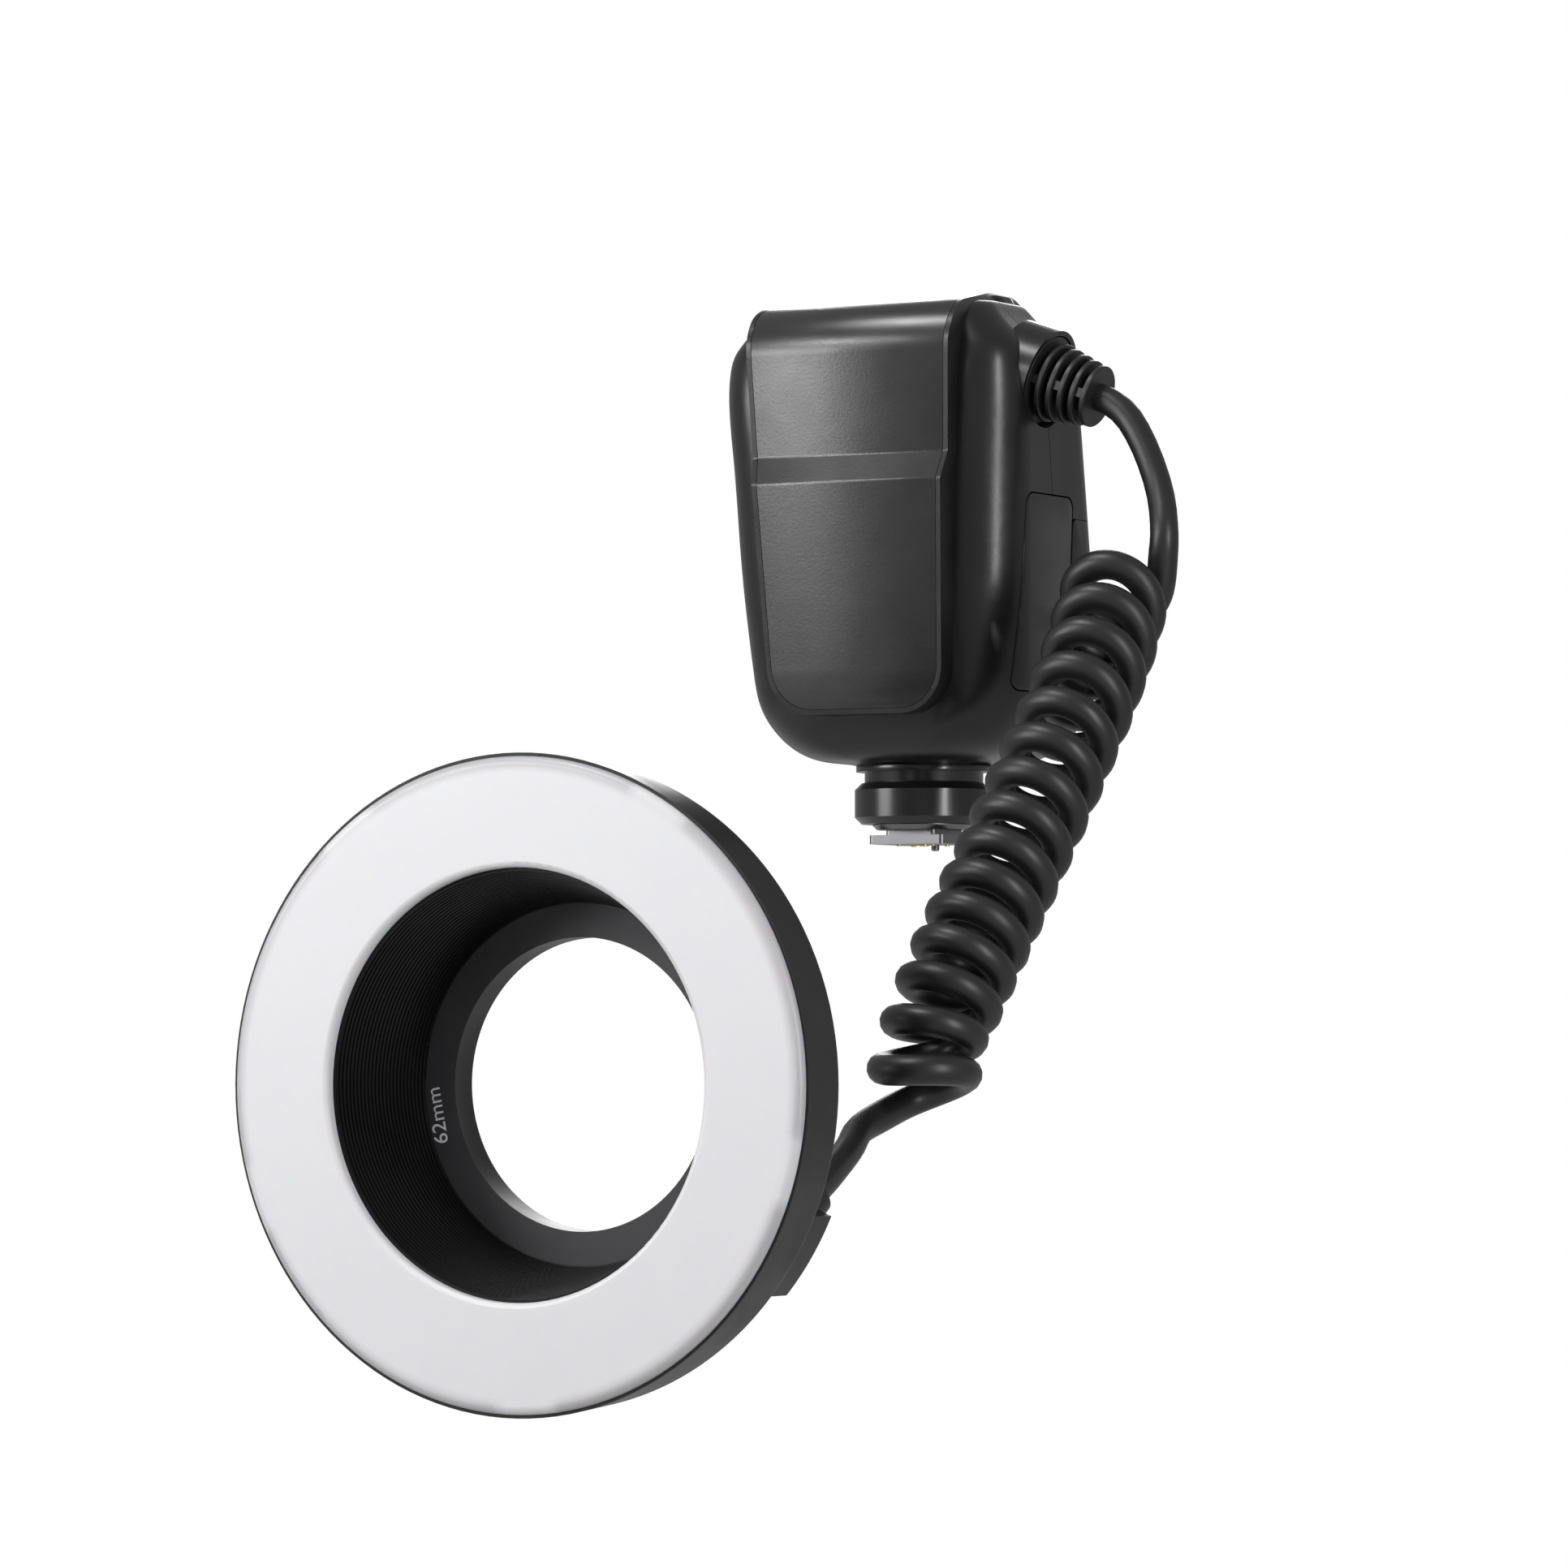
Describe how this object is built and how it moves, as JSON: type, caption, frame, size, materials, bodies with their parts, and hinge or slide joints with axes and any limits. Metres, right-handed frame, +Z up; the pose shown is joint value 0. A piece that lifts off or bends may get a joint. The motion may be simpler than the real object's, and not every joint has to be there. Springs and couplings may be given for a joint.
{
  "type": "macro ring flash",
  "caption": "Macro ring flash: a hot-shoe control unit with a battery cap, a curly cord and a ring lamp with a milky diffuser on a lens adapter ring.",
  "frame": {"origin": "middle of the shoe foot's underside, where the unit sits on a camera's accessory shoe", "axes": "+Z up out of the shoe, +Y towards the viewer, so the light goes to -Y, and +X to the side where the cord leaves"},
  "size_m": [0.1401, 0.207, 0.2417],
  "materials": {
    "shell_plastic": "satin",
    "plate_plastic": "fine grain",
    "collar_plastic": "semi-gloss",
    "shoe_metal": "polished",
    "screw_steel": "satin",
    "contact_gold": "polished",
    "panel_plastic": "semi-gloss",
    "key_rubber": "matte",
    "window_glass": "clear",
    "display_grey": "smooth",
    "board_green": "satin",
    "part_black": "matte",
    "port_rubber": "matte",
    "cord_rubber": "matte",
    "diffuser_white": "milky",
    "baffle_black": "matte",
    "pan_mirror": "bright",
    "tube_glass": "clear",
    "lamp_clear": "clear",
    "adapter_aluminium": "anodised, matte"
  },
  "bodies": {
    "unit": {"front_shell": "shell_plastic", "rear_shell": "shell_plastic", "ring_housing": "shell_plastic", "rear_cover": "shell_plastic", "front_plate": "plate_plastic", "foot_collar": "collar_plastic", "shoe_plate": "shoe_metal", "shoe_barrel": "shoe_metal", "foot_screws": "screw_steel", "shell_screws": "screw_steel", "ring_screws": "screw_steel", "latch_springs": "screw_steel", "battery_contacts": "contact_gold", "control_panel": "panel_plastic", "display_window": "window_glass", "display_module": "display_grey", "control_board": "board_green", "power_board": "board_green", "trigger_board": "board_green", "led_boards": "board_green", "key_switches": "part_black", "sockets": "part_black", "battery_bay": "part_black", "main_capacitor": "part_black", "cable_boot": "cord_rubber", "cord_outlet": "cord_rubber", "cord_coil": "cord_rubber", "cord_upper_lead": "cord_rubber", "cord_lower_lead": "cord_rubber", "diffuser": "diffuser_white", "bore_baffle": "baffle_black", "reflector_pan": "pan_mirror", "flash_tubes": "tube_glass", "modelling_lamps": "lamp_clear"},
    "washer": {"clamp_washer": "shoe_metal"},
    "wheel": {"lock_wheel": "collar_plastic"},
    "pin": {"lock_pin": "shoe_metal"},
    "contacts": {"contact_pins": "contact_gold"},
    "dial": {"select_dial": "key_rubber"},
    "switch": {"power_switch": "shell_plastic"},
    "battery": {"battery_pack": "shell_plastic"},
    "latch": {"battery_latch": "shell_plastic"},
    "port_flap": {"port_cover": "port_rubber"},
    "adapter": {"adapter_ring": "adapter_aluminium"},
    "right_release": {"release_button_right": "shell_plastic"},
    "left_release": {"release_button_left": "shell_plastic"},
    "function_key_1": {"function_key_1": "key_rubber"},
    "function_key_2": {"function_key_2": "key_rubber"},
    "function_key_3": {"function_key_3": "key_rubber"},
    "function_key_4": {"function_key_4": "key_rubber"},
    "menu_key": {"menu_key": "key_rubber"},
    "mode_key": {"mode_key": "key_rubber"},
    "test_key": {"test_key": "key_rubber"},
    "lamp_key": {"lamp_key": "key_rubber"},
    "set_button": {"set_button": "key_rubber"}
  },
  "joints": [
    {"name": "washer_lift", "type": "slide", "parent": "unit", "child": "washer", "axis": [0, 0, 1], "range_m": [0, 0.00101]},
    {"name": "wheel_turn", "type": "hinge", "parent": "washer", "child": "wheel", "pos_m": [0, 0, 0], "axis": [0, 0, 1], "range_deg": [0, 240]},
    {"name": "lock_pin_lift", "type": "slide", "parent": "unit", "child": "pin", "axis": [0, 0, 1], "range_m": [0, 0.00151]},
    {"name": "contact_press", "type": "slide", "parent": "unit", "child": "contacts", "axis": [0, 0, 1], "range_m": [0, 0.0004], "stiffness_N_per_m": 400, "springref_m": -0.0003},
    {"name": "dial_turn", "type": "hinge", "parent": "unit", "child": "dial", "pos_m": [0, 0.0215, 0.05695], "axis": [0, 0.9686, 0.2487], "continuous": true},
    {"name": "power_slide", "type": "slide", "parent": "unit", "child": "switch", "axis": [-1, 0, 0], "range_m": [0, 0.006]},
    {"name": "battery_slide", "type": "slide", "parent": "unit", "child": "battery", "axis": [1, 0, 0], "range_m": [0, 0.018]},
    {"name": "latch_slide", "type": "slide", "parent": "unit", "child": "latch", "axis": [0, 0, -1], "range_m": [0, 0.004], "stiffness_N_per_m": 300, "springref_m": -0.001},
    {"name": "port_flap_turn", "type": "hinge", "parent": "unit", "child": "port_flap", "pos_m": [-0.0352, -0.005, 0.0623], "axis": [0, -1, 0], "range_deg": [0, 100]},
    {"name": "adapter_slide", "type": "slide", "parent": "unit", "child": "adapter", "axis": [0, 1, 0], "range_m": [0, 0.008]},
    {"name": "right_release_press", "type": "slide", "parent": "unit", "child": "right_release", "axis": [-1, 0, 0], "range_m": [0, 0.0012], "stiffness_N_per_m": 500, "springref_m": -0.001, "deforming": ["latch_springs"]},
    {"name": "left_release_press", "type": "slide", "parent": "unit", "child": "left_release", "axis": [1, 0, 0], "range_m": [0, 0.0012], "stiffness_N_per_m": 500, "springref_m": -0.001, "deforming": ["latch_springs"]},
    {"name": "function_key_1_press", "type": "slide", "parent": "unit", "child": "function_key_1", "axis": [0, -0.9686, -0.2487], "range_m": [0, 0.0006], "stiffness_N_per_m": 600, "springref_m": -0.0002},
    {"name": "function_key_2_press", "type": "slide", "parent": "unit", "child": "function_key_2", "axis": [0, -0.9686, -0.2487], "range_m": [0, 0.0006], "stiffness_N_per_m": 600, "springref_m": -0.0002},
    {"name": "function_key_3_press", "type": "slide", "parent": "unit", "child": "function_key_3", "axis": [0, -0.9686, -0.2487], "range_m": [0, 0.0006], "stiffness_N_per_m": 600, "springref_m": -0.0002},
    {"name": "function_key_4_press", "type": "slide", "parent": "unit", "child": "function_key_4", "axis": [0, -0.9686, -0.2487], "range_m": [0, 0.0006], "stiffness_N_per_m": 600, "springref_m": -0.0002},
    {"name": "menu_key_press", "type": "slide", "parent": "unit", "child": "menu_key", "axis": [0, -0.9686, -0.2487], "range_m": [0, 0.0006], "stiffness_N_per_m": 600, "springref_m": -0.0002},
    {"name": "mode_key_press", "type": "slide", "parent": "unit", "child": "mode_key", "axis": [0, -0.9686, -0.2487], "range_m": [0, 0.0006], "stiffness_N_per_m": 600, "springref_m": -0.0002},
    {"name": "test_key_press", "type": "slide", "parent": "unit", "child": "test_key", "axis": [0, -0.9686, -0.2487], "range_m": [0, 0.0006], "stiffness_N_per_m": 600, "springref_m": -0.0002},
    {"name": "lamp_key_press", "type": "slide", "parent": "unit", "child": "lamp_key", "axis": [0, -0.9686, -0.2487], "range_m": [0, 0.0006], "stiffness_N_per_m": 600, "springref_m": -0.0002},
    {"name": "set_button_press", "type": "slide", "parent": "unit", "child": "set_button", "axis": [0, -0.9686, -0.2487], "range_m": [0, 0.0006], "stiffness_N_per_m": 600, "springref_m": -0.0002}
  ],
  "couplings": [
    {"joint": "washer_lift", "follows": "wheel_turn", "m_per_rad": 0.00023873},
    {"joint": "lock_pin_lift", "follows": "wheel_turn", "m_per_rad": 0.0003581}
  ]
}
